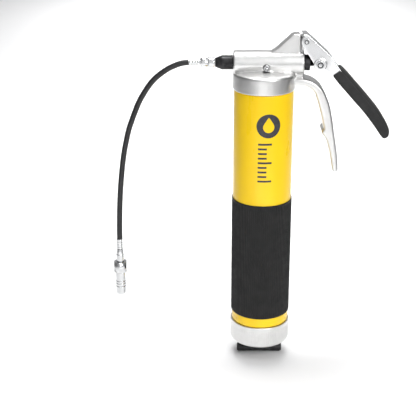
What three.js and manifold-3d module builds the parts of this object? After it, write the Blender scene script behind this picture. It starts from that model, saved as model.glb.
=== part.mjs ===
// Pistol-grip grease gun with a hose and coupler.
//
// The barrel holds a grease cartridge. A spring behind a rubber follower feeds grease to the head,
// and a lever drives a small steel plunger that pushes it past a check ball into the hose.
//
// Millimetres, +Z up. The Z axis is the barrel's axis, Z = 0 is the end cap's bottom face,
// +X is the side of the lever and -X the side of the hose.

import * as THREE from 'three';
import { mergeVertices } from 'three/addons/utils/BufferGeometryUtils.js';
import Module from 'manifold-3d';

const wasm = await Module();
wasm.setup();

// ---------- driving dimensions ----------

const GAP = 0.3;                    // left between solids that touch on the real gun

const BARREL_R = 28.5;
const BARREL_WALL = 1.2;
const NECK_R = 26.6;                // rolled thread at each end of the barrel
const SKIRT_R = 29.6;               // outside of the head and of the end cap
const CAP_HEIGHT = 22;
const CAP_FLOOR = 6;
const HEAD_BOTTOM = 262.7;          // lower edge of the head's skirt
const ROOF = 274;                   // underside of the head's roof

const TUBE_Z = 287.6;               // axis of the plunger, the outlet and the head's cross tube
const TUBE_R = 11.5;
const TUBE_LEFT = -29.2;
const TUBE_RIGHT = 36.9;

const PLUNGER_R = 3.5;
const PLUNGER_END = 5;              // its inner end at rest, just clear of the grease inlet
const INLET_X = 2.6;
const BORE_R = 3.8;
const PORT_R = 5;                   // outlet port, where the check ball and its spring sit
const BALL_R = 4.4;
const SEAT_X = -12;                 // step between the plunger's bore and the port

const FULCRUM = [38.1, 309.2];      // pin that the lever turns on, in X and Z
const CRANK = [51.6, TUBE_Z];       // pin that pushes the plunger
const FULCRUM_PIN_R = 1.8;
const CRANK_PIN_R = 2;
const CRANK_DROP = 2.55;            // how far the crank pin drops over the lever's full swing
const BRACKET_WIDTH = 12;
const BRACKET_END_WIDTH = 8;        // thinner round the pin, to leave room for the return spring
const LEVER_WIDTH = 19;             // across the cheeks at the pins
const LEVER_SHEET = 1.6;
const LEVER_END_WIDTH = 22.4;       // across the channel inside the grip
const GRIP_WIDTH = 28;
const HANDLE_WIDTH = 24;

const ROD_R = 3.5;
const ROD_TOP = 238;
const HANDLE_Z = -14;               // centre line of the T-handle's bar
const FOLLOWER_Z = 246;             // bottom of the follower's rubber cup at rest

const GLAND_R = 6.4;                // packing gland's bore
const GLAND_X = 26;
const BLEEDER_R = 2.7;
const TUBE_AXIS = [0, 0, TUBE_Z];
const BLEEDER_AXIS = [1.6, 0, TUBE_Z - 2.9];
const FULCRUM_AXIS = [FULCRUM[0], 0, FULCRUM[1]];
const CRANK_AXIS = [CRANK[0], 0, CRANK[1]];

const HOSE_R = 2.7;
const HOSE_END_X = -141.2;          // the coupler hangs on this line
const SLEEVE_R = 29.4;
const SLEEVE_LOW = 32.3;
const SLEEVE_HIGH = 153.6;

const ROUND = 48;                   // sides of the large round pieces

// ---------- helpers ----------

function finish(name, color, roughness, metalness) {
  return { name, material: { color, roughness, metalness } };
}

const YELLOW = finish('yellow paint', 0xf7c51e, 0.28, 0.1);
const CAST = finish('cast aluminium', 0xc9cbcc, 0.42, 0.8);
const BRIGHT = finish('bright plate', 0xe4e5e6, 0.22, 0.9);
const CHROME = finish('chrome', 0xd6d8da, 0.12, 1.0);
const STEEL = finish('steel', 0x8d9094, 0.35, 0.9);
const BLACK = finish('black oxide', 0x1b1b1c, 0.45, 0.5);
const RUBBER = finish('rubber', 0x232324, 0.75, 0.0);
const VINYL = finish('vinyl', 0x2a2a2b, 0.6, 0.0);
const BRASS = finish('brass', 0xb8964a, 0.35, 0.9);

const gun = new THREE.Group();

function node(name, geometry, look) {
  const mesh = new THREE.Mesh(geometry, new THREE.MeshStandardMaterial(look.material));
  mesh.name = name;
  gun.add(mesh);
}

// A closed mesh whose faces point out, whichever way its outline was drawn.
function closed(geometry) {
  geometry.deleteAttribute('normal');
  geometry.deleteAttribute('uv');
  const merged = mergeVertices(geometry, 1e-4);
  const at = merged.attributes.position;
  const kept = [];
  let volume = 0;
  const corner = [new THREE.Vector3(), new THREE.Vector3(), new THREE.Vector3()];
  for (let i = 0; i < merged.index.count; i += 3) {
    const [a, b, c] = [0, 1, 2].map((k) => merged.index.getX(i + k));
    if (a === b || b === c || c === a) continue;
    [a, b, c].forEach((v, k) => corner[k].fromBufferAttribute(at, v));
    volume += corner[0].dot(corner[1].clone().cross(corner[2]));
    kept.push(a, b, c);
  }
  if (volume < 0) kept.reverse();
  merged.setIndex(kept);
  return merged;
}

function toManifold(geometry) {
  return new wasm.Manifold(new wasm.Mesh({
    numProp: 3,
    vertProperties: new Float32Array(geometry.attributes.position.array),
    triVerts: new Uint32Array(geometry.index.array),
  }));
}

function fromManifold(solid) {
  const mesh = solid.getMesh();
  const geometry = new THREE.BufferGeometry();
  geometry.setAttribute('position', new THREE.BufferAttribute(mesh.vertProperties, 3));
  geometry.setIndex(new THREE.BufferAttribute(mesh.triVerts, 1));
  return geometry;
}

function join(...parts) {
  return fromManifold(parts.map(toManifold).reduce((sum, part) => sum.add(part)));
}

function cut(body, ...tools) {
  const rest = tools.map(toManifold).reduce((solid, tool) => solid.subtract(tool), toManifold(body));
  return fromManifold(rest);
}

function common(a, b) {
  return fromManifold(toManifold(a).intersect(toManifold(b)));
}

// Turns a shape drawn along +Z so that its own Z runs along the direction given.
const TURN = {
  z: (g) => g,
  x: (g) => g.rotateY(Math.PI / 2),
  minusX: (g) => g.rotateY(-Math.PI / 2),
  y: (g) => g.rotateX(-Math.PI / 2),
  minusY: (g) => g.rotateX(Math.PI / 2),
};

// A turned piece: its profile is [radius, height] pairs, on an axis through the point given.
function turned(profile, sides, direction = 'z', point = [0, 0, 0]) {
  const solid = new THREE.LatheGeometry(points(profile), sides).rotateX(Math.PI / 2);
  return closed(TURN[direction](solid).translate(...point));
}

function rod(radius, low, high, sides, direction = 'z', point = [0, 0, 0]) {
  return turned([[0, low], [radius, low], [radius, high], [0, high]], sides, direction, point);
}

function ring(inner, outer, low, high, sides, direction = 'z', point = [0, 0, 0]) {
  const profile = [[inner, low], [outer, low], [outer, high], [inner, high], [inner, low]];
  return turned(profile, sides, direction, point);
}

function ball(radius, point) {
  return closed(new THREE.SphereGeometry(radius, 20, 12).translate(...point));
}

// A plate whose outline is drawn in X and Z, centred on Y = middle.
function plate(outline, width, middle = 0, curveSteps = 6) {
  const depth = { depth: width, bevelEnabled: false, curveSegments: curveSteps };
  const solid = new THREE.ExtrudeGeometry(outline, depth);
  return closed(solid.rotateX(Math.PI / 2).translate(0, middle + width / 2, 0));
}

function points(pairs) {
  return pairs.map(([x, z]) => new THREE.Vector2(x, z));
}

function polygon(pairs) {
  return new THREE.Shape(points(pairs));
}

function box(low, high) {
  const size = low.map((v, i) => high[i] - v);
  const centre = low.map((v, i) => (high[i] + v) / 2);
  return closed(new THREE.BoxGeometry(...size).translate(...centre));
}

function disc(radius, sides) {
  const outline = new THREE.Shape();
  for (let i = 0; i < sides; i += 1) {
    const angle = (2 * Math.PI * i) / sides;
    const place = [radius * Math.cos(angle), radius * Math.sin(angle)];
    if (i === 0) outline.moveTo(...place);
    else outline.lineTo(...place);
  }
  return outline;
}

// A round bar swept along a curve.
function swept(curve, radius, sides, steps) {
  return closed(new THREE.ExtrudeGeometry(disc(radius, sides), { steps, extrudePath: curve }));
}

function hex(acrossFlats, low, high, direction = 'z', point = [0, 0, 0]) {
  return rod(acrossFlats / Math.sqrt(3), low, high, 6, direction, point);
}

// A coil spring along +Z from low to high.
class Helix extends THREE.Curve {
  constructor(radius, low, high, turns) {
    super();
    Object.assign(this, { radius, low, high, turns });
  }

  getPoint(t, target = new THREE.Vector3()) {
    const angle = 2 * Math.PI * this.turns * t;
    const height = this.low + (this.high - this.low) * t;
    return target.set(this.radius * Math.cos(angle), this.radius * Math.sin(angle), height);
  }
}

function spring(coil, direction = 'z', point = [0, 0, 0]) {
  const path = new Helix(coil.radius, coil.low + coil.wire, coil.high - coil.wire, coil.turns);
  const solid = new THREE.ExtrudeGeometry(disc(coil.wire, 6), {
    steps: coil.turns * coil.stepsPerTurn,
    extrudePath: path,
  });
  return closed(TURN[direction](solid).translate(...point));
}

// ---------- barrel ----------

function buildBarrel() {
  const low = CAP_FLOOR + GAP;
  const high = 271.8;
  const neckLow = CAP_HEIGHT + GAP;
  const neckHigh = HEAD_BOTTOM - GAP;
  const inside = BARREL_R - BARREL_WALL;
  const neckInside = NECK_R - BARREL_WALL;
  node('barrel', turned([
    [neckInside, low], [NECK_R, low], [NECK_R, neckLow], [BARREL_R, neckLow],
    [BARREL_R, neckHigh], [NECK_R, neckHigh], [NECK_R, high], [neckInside, high],
    [neckInside, neckHigh - 2], [inside, neckHigh - 4], [inside, neckLow + 4],
    [neckInside, neckLow + 2], [neckInside, low],
  ], ROUND), YELLOW);

  node('head_gasket', ring(22.5, NECK_R, high + GAP, ROOF - GAP, ROUND), RUBBER);
  node('barrel_sleeve', ring(BARREL_R + GAP, SLEEVE_R, SLEEVE_LOW, SLEEVE_HIGH, ROUND), RUBBER);
}

// ---------- head ----------

// The head's gently domed top, from the middle out to the shoulder.
const ROOF_PROFILE = [
  [0, 282.4], [12, 281.2], [20, 280.4], [26.5, 279.4], [28.8, 278.4], [SKIRT_R, 276.8],
];

function bracketOutline() {
  return polygon([
    [0, 290], [0, 296.5], [5.5, 298.2], [10, 300.6], [26, 315.6], [32.3, 315.6], [33.3, 313.4],
    [33.3, 290],
  ]);
}

function bracketEndOutline() {
  return polygon([[30, 299], [30, 312.6], [38.1, 312.8], [41, 306.8], [38, 302.4], [33.5, 297]]);
}

// The fixed handle: a curved rest for the palm, with a nub that stops the hand sliding down.
function handleOutline() {
  const outline = new THREE.Shape();
  outline.moveTo(27.6, 268.2);
  outline.lineTo(36.9, 268);
  outline.splineThru(points([[43.5, 264.9], [47.2, 261], [51.4, 249.2], [54.6, 237.4], [57.2, 226]]));
  outline.lineTo(55, 222.6);
  outline.splineThru(points([[57.4, 218.6], [60.2, 213.7], [63.9, 200.6], [66.6, 184.4]]));
  outline.lineTo(67.6, 182.4);
  outline.lineTo(71.4, 182.4);
  outline.lineTo(72.4, 184);
  outline.splineThru(points([
    [70.6, 201], [67.8, 217.6], [63.6, 241.2], [60.3, 252.6], [55.2, 263], [50, 268.6], [44, 272.6],
  ]));
  outline.lineTo(37, 274.5);
  outline.lineTo(27.6, 274.5);
  outline.closePath();
  return outline;
}

function buildHead() {
  const skirtInside = NECK_R + GAP;
  const shell = turned([
    ...ROOF_PROFILE, [SKIRT_R, HEAD_BOTTOM + 0.8], [SKIRT_R - 0.8, HEAD_BOTTOM],
    [skirtInside, HEAD_BOTTOM], [skirtInside, ROOF], [0, ROOF],
  ], ROUND);
  const tubeEdge = 1;
  const tube = turned([
    [0, TUBE_LEFT], [TUBE_R - tubeEdge, TUBE_LEFT], [TUBE_R, TUBE_LEFT + tubeEdge],
    [TUBE_R, TUBE_RIGHT - tubeEdge], [TUBE_R - tubeEdge, TUBE_RIGHT], [0, TUBE_RIGHT],
  ], 32, 'x', TUBE_AXIS);
  const bracket = plate(bracketOutline(), BRACKET_WIDTH);
  const bracketEnd = plate(bracketEndOutline(), BRACKET_END_WIDTH);
  const half = BRACKET_END_WIDTH / 2;
  const lobe = rod(3.65, -half, half, 20, 'y', FULCRUM_AXIS);
  const lug = box([24, -6, 272], [36.6, 6, 283]);
  const handle = plate(handleOutline(), HANDLE_WIDTH, 0, 2);
  node('head_casting', cut(
    join(shell, tube, bracket, bracketEnd, lobe, lug, handle),
    rod(skirtInside, HEAD_BOTTOM - 5, ROOF, ROUND),                // room for the barrel's thread
    rod(PORT_R, TUBE_LEFT - 1, SEAT_X, 24, 'x', TUBE_AXIS),        // outlet port
    rod(BORE_R, SEAT_X - 1, TUBE_RIGHT + 1, 24, 'x', TUBE_AXIS),   // plunger's bore
    rod(GLAND_R, GLAND_X, TUBE_RIGHT + 1, 24, 'x', TUBE_AXIS),     // packing gland
    rod(2, ROOF - 1, TUBE_Z, 16, 'z', [INLET_X, 0, 0]),            // grease inlet
    rod(BLEEDER_R + GAP, 6, TUBE_R + 2, 20, 'minusY', BLEEDER_AXIS),
    rod(1.2, 0, 7, 12, 'minusY', BLEEDER_AXIS),                    // bleeder's passage
    rod(FULCRUM_PIN_R + GAP, -LEVER_WIDTH, LEVER_WIDTH, 20, 'y', FULCRUM_AXIS),
  ), CAST);
}

// Ball-type air bleeder in the front of the cross tube: pressing the ball lets the air out.
function buildBleeder() {
  const seat = 12.9;
  const bleederBall = 1.7;
  const ballAt = 12.1;
  const lip = 1.5;
  const flange = 3.1;
  node('bleeder_body', turned([
    [0.8, 6.4], [BLEEDER_R, 6.4], [BLEEDER_R, 11.7], [flange, 11.7], [flange, 13], [2.7, 13.5],
    [lip, 13.5], [lip, seat], [2.1, seat - 0.6], [2.1, 7.4], [0.8, 7.4], [0.8, 6.4],
  ], 20, 'minusY', BLEEDER_AXIS), BRIGHT);
  const [x, , z] = BLEEDER_AXIS;
  node('bleeder_ball', ball(bleederBall, [x, -ballAt, z]), STEEL);
  node('bleeder_spring', spring({
    radius: 1.35, wire: 0.25, low: 7.6, high: ballAt - bleederBall + 0.25, turns: 3, stepsPerTurn: 8,
  }, 'minusY', BLEEDER_AXIS), STEEL);
}

// ---------- plunger and its packing ----------

function buildPlunger() {
  const eyeLeft = 48.3;
  const eyeWidth = 8;
  const shaft = rod(PLUNGER_R, PLUNGER_END, eyeLeft + 0.4, 24, 'x', TUBE_AXIS);
  const eye = plate(polygon([
    [eyeLeft, 282.4], [49.4, 281.3], [54.6, 281.3], [55.8, 282.4], [55.8, 290.4], [54.8, 291.4],
    [49.3, 291.4], [eyeLeft, 290.4],
  ]), eyeWidth);
  // The crank pin drops as the lever swings, so it runs in an upright slot.
  const play = 0.35;
  const slot = box(
    [CRANK[0] - CRANK_PIN_R - play, -eyeWidth, TUBE_Z - CRANK_PIN_R - CRANK_DROP - play],
    [CRANK[0] + CRANK_PIN_R + play, eyeWidth, TUBE_Z + CRANK_PIN_R + play],
  );
  node('plunger', cut(join(shaft, eye), slot), CHROME);

  const clearance = PLUNGER_R + 0.25;
  const packingEnd = 32.4;
  const body = GLAND_R - GAP;
  node('plunger_packing', ring(clearance, body, GLAND_X + GAP, packingEnd, 24, 'x', TUBE_AXIS), RUBBER);
  node('gland_nut', turned([
    [clearance, packingEnd + GAP], [body, packingEnd + GAP], [body, TUBE_RIGHT + GAP],
    [7.55, TUBE_RIGHT + GAP], [7.55, 42], [6.9, 42.7], [clearance, 42.7], [clearance, packingEnd + GAP],
  ], 24, 'x', TUBE_AXIS), BLACK);
}

// ---------- lever ----------

// The lever seen from the side: ears round the pins, then a channel that runs down into the grip.
function leverOutline() {
  const outline = new THREE.Shape();
  outline.moveTo(34.8, 316);
  outline.lineTo(38.8, 316);
  outline.lineTo(58.4, 298.4);
  outline.splineThru(points([
    [64.2, 292], [69.6, 284.2], [84.8, 267], [95, 255.2], [105, 242], [116.4, 222.2],
  ]));
  outline.lineTo(110.6, 222.6);
  outline.splineThru(points([[104.6, 231.4], [96.2, 242.8], [82, 258], [68.5, 272], [62.4, 278.4]]));
  outline.quadraticCurveTo(57.4, 281.4, 51.6, 281.2);
  outline.quadraticCurveTo(45, 281.4, 45.2, 289);
  outline.lineTo(34.6, 305.4);
  outline.quadraticCurveTo(32.4, 309.6, 34.4, 312.6);
  outline.lineTo(36.4, 313.9);
  outline.lineTo(39.4, 313.9);
  outline.lineTo(38.4, 314.5);
  outline.lineTo(34.8, 314.5);
  outline.closePath();
  return outline;
}

// What the sheet leaves free inside: everything below the web.
function leverInside() {
  const outline = new THREE.Shape();
  outline.moveTo(20, 314.5);
  outline.lineTo(38.2, 314.5);
  outline.lineTo(57.3, 297.2);
  outline.splineThru(points([
    [63, 291], [68.4, 283], [83.6, 265.8], [93.6, 254.2], [103.6, 241], [114.6, 221.6],
  ]));
  outline.lineTo(113, 215);
  outline.lineTo(60, 240);
  outline.lineTo(20, 290);
  outline.closePath();
  return outline;
}

// The channel seen from above: narrow at the pins, wider where it enters the grip.
function leverFromAbove(inset) {
  const flareStart = 62;
  const flareEnd = 70;
  const near = 10;
  const far = 140;
  const a = LEVER_WIDTH / 2 - inset;
  const b = LEVER_END_WIDTH / 2 - inset;
  const outline = polygon([
    [near, -a], [flareStart, -a], [flareEnd, -b], [far, -b],
    [far, b], [flareEnd, b], [flareStart, a], [near, a],
  ]);
  const tall = { depth: 130, bevelEnabled: false };
  return closed(new THREE.ExtrudeGeometry(outline, tall).translate(0, 0, 200));
}

function buildLever() {
  const outside = common(plate(leverOutline(), LEVER_END_WIDTH, 0, 2), leverFromAbove(0));
  const inside = common(plate(leverInside(), LEVER_END_WIDTH, 0, 2), leverFromAbove(LEVER_SHEET));
  const bossHeight = 0.8;
  const face = LEVER_WIDTH / 2;
  const solid = join(
    cut(outside, inside),
    rod(6.2, face - 0.5, face + bossHeight, 24, 'y', CRANK_AXIS),
    rod(6.2, face - 0.5, face + bossHeight, 24, 'minusY', CRANK_AXIS),
  );
  node('lever', cut(
    solid,
    rod(FULCRUM_PIN_R + GAP, -LEVER_WIDTH, LEVER_WIDTH, 20, 'y', FULCRUM_AXIS),
    rod(CRANK_PIN_R + GAP, -LEVER_WIDTH, LEVER_WIDTH, 20, 'y', CRANK_AXIS),
  ), BRIGHT);
  buildPin('fulcrum', FULCRUM_PIN_R, 2.9, face, FULCRUM_AXIS);
  buildPin('crank', CRANK_PIN_R, 3.9, face + bossHeight, CRANK_AXIS);
}

// A headed pin from the front, held at the back by a spring clip.
function buildPin(name, radius, headRadius, face, axis) {
  const back = face + GAP;
  const front = -face - GAP;
  const headHeight = 1.4;
  const clip = 0.7;
  node(`${name}_pin`, turned([
    [0, front - headHeight], [headRadius - 0.7, front - headHeight], [headRadius, front - headHeight + 0.6],
    [headRadius, front], [radius, front], [radius, back + clip + 0.8], [0, back + clip + 0.8],
  ], 20, 'y', axis), STEEL);
  node(`${name}_clip`, ring(radius + 0.2, radius + 2, back, back + clip, 20, 'y', axis), STEEL);
}

// Torsion spring round the fulcrum pin. One leg rests on the bracket and the other under the web,
// so that the lever swings open again.
function buildLeverSpring() {
  const coil = 3;
  const wire = 0.4;
  const low = BRACKET_END_WIDTH / 2 + GAP + wire;
  const high = LEVER_WIDTH / 2 - LEVER_SHEET - GAP - wire;
  const [x, , z] = FULCRUM_AXIS;
  const web = new THREE.Vector2(17.3, 18.9).normalize();      // square to the web
  const start = Math.PI / 2;
  const end = Math.atan2(web.y, web.x) - 4 * Math.PI;
  const steps = 24;
  const path = [new THREE.Vector3(x - 3.7, low, z + coil)];
  for (let i = 0; i <= steps; i += 1) {
    const angle = start + ((end - start) * i) / steps;
    const y = low + ((high - low) * i) / steps;
    path.push(new THREE.Vector3(x + coil * Math.cos(angle), y, z + coil * Math.sin(angle)));
  }
  const reach = 9;
  path.push(new THREE.Vector3(x + coil * web.x + reach * web.y, high, z + coil * web.y - reach * web.x));
  node('lever_spring', swept(new THREE.CatmullRomCurve3(path), wire, 6, 44), STEEL);
}

function gripOutline() {
  const outline = new THREE.Shape();
  outline.moveTo(62.3, 276.8);
  outline.splineThru(points([[75.2, 262.9], [85.1, 252.2], [95.3, 241], [105.3, 227.6], [112, 218]]));
  outline.quadraticCurveTo(116, 211.6, 119.6, 213);
  outline.quadraticCurveTo(122.6, 214.6, 121.6, 219);
  outline.splineThru(points([[112, 237.2], [106.7, 245.1], [96.5, 258.1], [86.4, 269.4], [72.6, 284.4]]));
  outline.closePath();
  return outline;
}

function buildGrip() {
  const round = 2.4;
  const solid = new THREE.ExtrudeGeometry(gripOutline(), {
    depth: GRIP_WIDTH - 2 * round,
    bevelEnabled: true,
    bevelThickness: round,
    bevelSize: round,
    bevelOffset: -round,
    bevelSegments: 2,
    curveSegments: 2,
  });
  const body = closed(solid.rotateX(Math.PI / 2).translate(0, GRIP_WIDTH / 2 - round, 0));
  // The pocket is the lever's own outline, a little larger all round.
  const pocket = new THREE.ExtrudeGeometry(leverOutline(), {
    depth: LEVER_END_WIDTH,
    bevelEnabled: true,
    bevelThickness: GAP,
    bevelSize: GAP,
    bevelSegments: 1,
    curveSegments: 2,
  });
  const room = closed(pocket.rotateX(Math.PI / 2).translate(0, LEVER_END_WIDTH / 2, 0));
  node('lever_grip', cut(body, room), VINYL);
}

// ---------- end cap, rod and follower ----------

function buildEndCap() {
  // The bushing's flange sits in a recess, so the cap's underside is flat all round it.
  const hole = 6.5;
  const recessR = 9.4;
  const recess = 3;
  const nutTop = CAP_FLOOR + 3.6;
  node('end_cap', turned([
    [hole, recess], [recessR, recess], [recessR, 0], [SKIRT_R - 1.5, 0], [SKIRT_R, 1.5],
    [SKIRT_R, CAP_HEIGHT - 0.8], [SKIRT_R - 0.8, CAP_HEIGHT], [NECK_R + GAP, CAP_HEIGHT],
    [NECK_R + GAP, CAP_FLOOR], [hole, CAP_FLOOR], [hole, recess],
  ], ROUND), CAST);
  const bore = ROD_R + 0.3;
  const threadR = hole - GAP;
  node('rod_bushing', turned([
    [bore, 0.4], [8.2, 0.4], [9, 1.2], [9, recess - GAP], [threadR, recess - GAP],
    [threadR, nutTop - 0.4], [bore, nutTop - 0.4], [bore, 0.4],
  ], 32), BRASS);
  node('bushing_nut', cut(hex(17, CAP_FLOOR + GAP, nutTop), rod(hole, 0, nutTop + 1, 32)), STEEL);

  // The groove near the top catches in the bushing when the rod is pulled right out.
  node('follower_rod', turned([
    [0, HANDLE_Z + 5.4], [ROD_R, HANDLE_Z + 5.4], [ROD_R, ROD_TOP - 14], [ROD_R - 0.9, ROD_TOP - 13],
    [ROD_R - 0.9, ROD_TOP - 10], [ROD_R, ROD_TOP - 9], [ROD_R, ROD_TOP - 1], [ROD_R - 1, ROD_TOP],
    [0, ROD_TOP],
  ], 24), CHROME);

  const barEnd = 23;
  const bar = turned([
    [0, -barEnd], [3.2, -barEnd], [4.6, 1.6 - barEnd], [4.6, barEnd - 1.6], [3.2, barEnd], [0, barEnd],
  ], 24, 'x', [0, 0, HANDLE_Z]);
  const hub = rod(6.4, HANDLE_Z, -2.9, 24);
  node('t_handle', cut(join(bar, hub), rod(ROD_R + GAP, HANDLE_Z + 5, 0, 24)), BLACK);
}

function buildFollower() {
  const low = FOLLOWER_Z;
  const top = low + 12;
  const bore = ROD_R + 0.4;
  const lip = 26.8;
  const waist = 25.2;
  node('follower_cup', turned([
    [bore, low], [lip - 1, low], [lip, low + 1], [lip, low + 3], [waist, low + 4.4], [waist, low + 7],
    [lip, low + 8.4], [lip, low + 10.4], [24.5, low + 11.6], [9, top], [bore, top], [bore, low],
  ], 40), RUBBER);
  node('follower_plate', turned([
    [bore, low - 6], [8, low - 6], [8, low - 2], [23, low - 2],
    [23, low - GAP], [bore, low - GAP], [bore, low - 6],
  ], 40), STEEL);
  node('follower_spring', spring({
    radius: 20, wire: 1.1, low: CAP_FLOOR + GAP, high: low - 2.3, turns: 10, stepsPerTurn: 10,
  }), STEEL);
}

// ---------- outlet valve, hose and coupler ----------

function buildOutlet() {
  const ballX = SEAT_X - Math.sqrt(BALL_R ** 2 - BORE_R ** 2) - 0.2;
  node('check_ball', ball(BALL_R, [ballX, 0, TUBE_Z]), STEEL);
  const stubEnd = 25.6;
  node('check_spring', spring({
    radius: 3.2, wire: 0.45, low: BALL_R - ballX + 0.1, high: stubEnd - 0.1, turns: 4, stepsPerTurn: 8,
  }, 'minusX', TUBE_AXIS), STEEL);

  const face = -TUBE_LEFT + GAP;
  const passage = 1.6;
  const adapterEnd = 46.4;
  node('outlet_adapter', turned([
    [passage, stubEnd], [PORT_R - GAP, stubEnd], [PORT_R - GAP, face], [6.4, face], [6.75, face + 0.5],
    [6.75, 39.8], [4.15, adapterEnd], [passage, adapterEnd], [passage, stubEnd],
  ], 24, 'minusX', TUBE_AXIS), BLACK);
  node('hose_swivel_nut', turned([
    [passage, adapterEnd + GAP], [4.6, adapterEnd + GAP], [5.15, 47.4], [5.15, 52.2], [4.5, 52.9],
    [passage, 52.9], [passage, adapterEnd + GAP],
  ], 24, 'minusX', TUBE_AXIS), CHROME);
  const fitting = hex(8, 53.2, 60.2, 'minusX', TUBE_AXIS);
  node('hose_fitting_head', tubeOf(fitting, passage, 'minusX', TUBE_AXIS), CHROME);
  node('hose_ferrule_head', ring(passage, 2.95, 60.5, 70.8, 20, 'minusX', TUBE_AXIS), CHROME);
}

function tubeOf(solid, radius, direction, axis) {
  return cut(solid, rod(radius, -400, 400, 16, direction, axis));
}

// The hose leaves the head level, curves over and hangs down to the coupler.
const HOSE_ROUTE = [
  [-71.1, 287.6], [-74.5, 287.3], [-79, 286.4], [-84, 284.6], [-89, 282.3], [-94, 279.2], [-99, 275.5],
  [-104, 271], [-109, 264.9], [-114, 257.3], [-118.6, 249], [-122.4, 239.9], [-125.6, 231.4], [-128.6, 223],
  [-131.2, 212.8], [-133.5, 201.8], [-135.4, 190.6], [-137, 178], [-138.5, 164], [-139.6, 150], [-140.4, 136],
  [-140.9, 122], [-141.1, 114], [-141.2, 108.2],
];

function buildHose() {
  const route = new THREE.CatmullRomCurve3(HOSE_ROUTE.map(([x, z]) => new THREE.Vector3(x, 0, z)));
  node('hose', swept(route, HOSE_R, 10, 28), RUBBER);
}

function buildCoupler() {
  const axis = [HOSE_END_X, 0, 0];
  const passage = 1.6;
  node('hose_ferrule_coupler', ring(passage, 3.05, 97.3, 107.9, 20, 'z', axis), CHROME);
  node('hose_fitting_coupler', turned([
    [passage, 83.7], [3.95, 83.7], [3.95, 91], [3.6, 91.6], [3.6, 93], [3.05, 97], [passage, 97],
    [passage, 83.7],
  ], 20, 'z', axis), CHROME);
  // The nut ends in a stem that the sleeve screws onto.
  const stemR = 3.9;
  const stemEnd = 66;
  const nut = join(hex(12.4, 72.2, 83.4, 'z', axis), rod(stemR, stemEnd, 73, 20, 'z', axis));
  node('coupler_nut', tubeOf(nut, passage, 'z', axis), CHROME);

  const mouth = 48;
  const top = 71.9;
  const bodyR = 5.1;
  node('coupler_sleeve', turned([
    [2.9, mouth], [4.4, mouth], [bodyR, mouth + 0.8], [bodyR, 56.6], [4.75, 57], [bodyR, 57.4], [bodyR, 59.6],
    [4.75, 60], [bodyR, 60.4], [bodyR, 62.2], [4.75, 62.6], [bodyR, 63], [bodyR, top - 0.6], [4.5, top],
    [stemR + GAP, top], [stemR + GAP, 55], [3.1, mouth + 1], [2.9, mouth],
  ], 24, 'z', axis), CHROME);

  // Four jaws that close on a grease nipple as the taper of the sleeve squeezes them.
  const jawTop = 58;
  const jaws = turned([
    [1.9, mouth + 0.3], [2.5, mouth + 0.3], [2.75, mouth + 1.2], [3.7, 55.4], [3.7, jawTop], [1.9, jawTop],
    [1.9, mouth + 0.3],
  ], 24, 'z', axis);
  const jawGap = 0.5;
  for (let i = 0; i < 4; i += 1) {
    const quarter = cut(jaws, allButQuarter(axis, i, jawGap, mouth, jawTop));
    node(`coupler_jaw_${i + 1}`, quarter, STEEL);
  }
  const sealTop = 61.4;
  node('coupler_seal', ring(1.1, 3.6, jawTop + GAP, sealTop, 20, 'z', axis), RUBBER);
  node('coupler_spring', spring({
    radius: 2.9, wire: 0.35, low: sealTop + 0.1, high: stemEnd - 0.1, turns: 3, stepsPerTurn: 8,
  }, 'z', axis), STEEL);
}

// Everything but one quarter of a ring, as a solid to cut away.
function allButQuarter([x, y], index, gap, low, high) {
  const start = (index * Math.PI) / 2;
  const reach = 12;
  const outline = new THREE.Shape();
  const corner = (radius, angle) => [
    x + gap * Math.SQRT1_2 * Math.cos(start + Math.PI / 4) + radius * Math.cos(angle),
    y + gap * Math.SQRT1_2 * Math.sin(start + Math.PI / 4) + radius * Math.sin(angle),
  ];
  outline.moveTo(...corner(0, 0));
  for (let step = 1; step <= 4; step += 1) {
    outline.lineTo(...corner(reach, start + Math.PI / 2 * step));
  }
  outline.closePath();
  const tall = { depth: high - low + 4, bevelEnabled: false };
  return closed(new THREE.ExtrudeGeometry(outline, tall).translate(0, 0, low - 2));
}

buildBarrel();
buildHead();
buildBleeder();
buildPlunger();
buildLever();
buildLeverSpring();
buildGrip();
buildEndCap();
buildFollower();
buildOutlet();
buildHose();
buildCoupler();

export default gun;
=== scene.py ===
# %% [markdown]
# # A pistol-grip grease gun
#
# The gun has three families of pieces. Turned pieces are round: the barrel, the end cap, the
# fittings of the hose. Pressed and cast pieces are flat or lumpy: the lever, the head with its
# fixed handle. Then there is one soft line, the hose. Each family gets one tool, made in the cell
# where it is first needed: a lathe, a slab cutter, and a smooth curve. Lengths are written in
# millimetres, as on a drawing, and turned into metres only when a mesh is made.

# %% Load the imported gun
import math

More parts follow.
